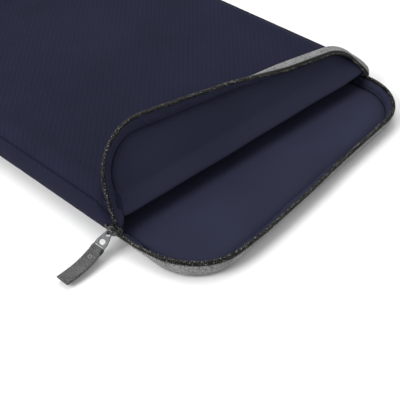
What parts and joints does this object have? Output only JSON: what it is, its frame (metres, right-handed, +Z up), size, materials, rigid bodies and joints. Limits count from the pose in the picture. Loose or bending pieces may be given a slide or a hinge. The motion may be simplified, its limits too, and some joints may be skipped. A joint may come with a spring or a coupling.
{
  "type": "laptop sleeve",
  "caption": "Padded portrait sleeve for a laptop, with a zip round the mouth, an upper lip that folds open, and a zip pull with a webbing tab.",
  "frame": {"origin": "middle of the flat bottom face, on the surface that the sleeve lies on", "axes": "+Z up through both panels, +Y towards the closed end along the sleeve's length, the mouth faces -Y"},
  "size_m": [0.3524, 0.4088, 0.0777],
  "materials": {
    "outer_navy": "fine woven polyester, matt, dark navy",
    "lining_navy": "smooth knitted lining with a slight sheen, dark navy",
    "foam": "closed-cell foam, hidden between skin and lining",
    "tape_grey": "melange grey woven zip tape",
    "coil_black": "nylon coil, near black",
    "gunmetal": "dark gunmetal plating",
    "pull_metal": "satin grey plated metal",
    "webbing_grey": "ribbed grey webbing",
    "thread_grey": "grey sewing thread"
  },
  "bodies": {
    "root": {"lower_outer_panel": "outer_navy", "side_band_skin": "outer_navy", "upper_outer_panel": "outer_navy", "fold_outer": "outer_navy", "lower_lining": "lining_navy", "side_band_lining": "lining_navy", "upper_lining": "lining_navy", "lower_lip_lining": "lining_navy", "upper_lip_lining_ends": "lining_navy", "fold_lining": "lining_navy", "lower_foam": "foam", "side_band_foam": "foam", "upper_foam": "foam", "lower_lip_foam": "foam", "upper_lip_foam_ends": "foam", "lower_zip_tape": "tape_grey", "upper_tape_ends": "tape_grey", "lower_zip_coil": "coil_black", "upper_coil_ends": "coil_black", "zip_end_stops": "gunmetal"},
    "flap": {"flap_outer_panel": "outer_navy", "flap_foam": "foam", "flap_lining": "lining_navy", "flap_zip_tape": "tape_grey", "flap_zip_coil": "coil_black", "flap_lip_foam": "foam", "flap_lip_lining": "lining_navy"},
    "slider": {"slider_outer_plate": "gunmetal", "slider_inner_plate": "gunmetal", "slider_post": "gunmetal", "slider_bridge": "gunmetal"},
    "pull_plate": {"pull_plate": "pull_metal"},
    "pull_tab": {"pull_tab": "webbing_grey", "pull_tab_tack": "thread_grey"}
  },
  "joints": [
    {"name": "mouth_fold", "type": "hinge", "parent": "root", "child": "flap", "pos_m": [-0.148, -0.125, 0.0155], "axis": [-0.9923, 0.124, 0], "range_deg": [-122, 4], "deforming": ["fold_outer", "fold_lining"]},
    {"name": "zip_slide", "type": "slide", "parent": "root", "child": "slider", "axis": [0, -1, 0], "range_m": [0, 0.032]},
    {"name": "pull_swing", "type": "hinge", "parent": "slider", "child": "pull_plate", "pos_m": [-0.1536, -0.118, 0.0155], "axis": [0, 0.6428, 0.766], "range_deg": [-8, 35]},
    {"name": "tab_fold", "type": "hinge", "parent": "pull_plate", "child": "pull_tab", "pos_m": [-0.16592, -0.118, 0.00895], "axis": [0, 1, 0], "range_deg": [-10, 80]}
  ]
}
